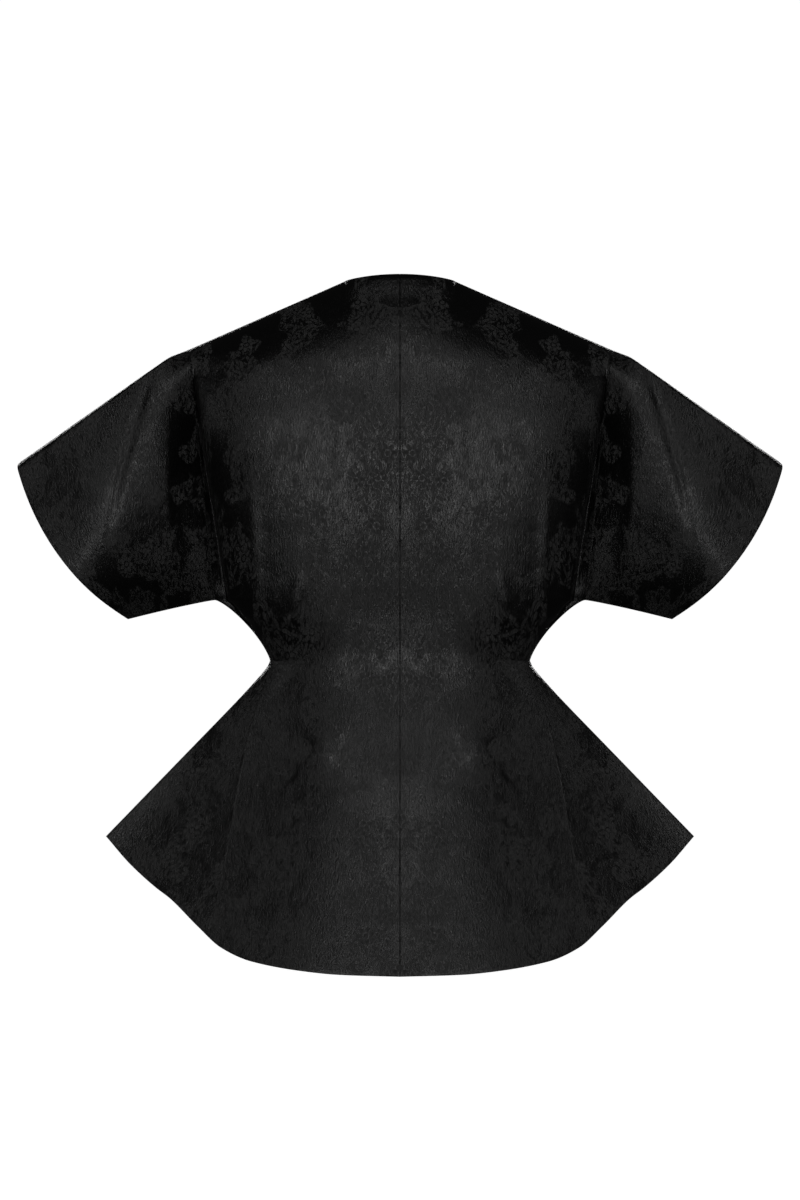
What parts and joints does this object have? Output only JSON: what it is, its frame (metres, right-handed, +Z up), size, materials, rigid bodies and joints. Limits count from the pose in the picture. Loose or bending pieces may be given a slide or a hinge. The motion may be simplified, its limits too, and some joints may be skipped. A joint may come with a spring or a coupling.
{
  "type": "kimono jacket",
  "caption": "Fitted collarless jacket in crinkled leaf jacquard, with wide elbow-length kimono sleeves, a narrow waist and a flared peplum that dips at the back and front.",
  "frame": {"origin": "middle of the neck opening, level with the two neck points of the shoulder seams", "axes": "+Z up as worn, +Y towards the wearer's back, +X towards the wearer's left"},
  "size_m": [0.776, 0.2357, 0.7041],
  "materials": {
    "jacquard": "black crinkled silky jacquard with tone-on-tone leaves and flowers"
  },
  "bodies": {
    "root": {"back_left": "jacquard", "back_right": "jacquard", "side_gore_left": "jacquard", "side_gore_right": "jacquard", "front_left": "jacquard", "front_right": "jacquard"}
  },
  "joints": []
}
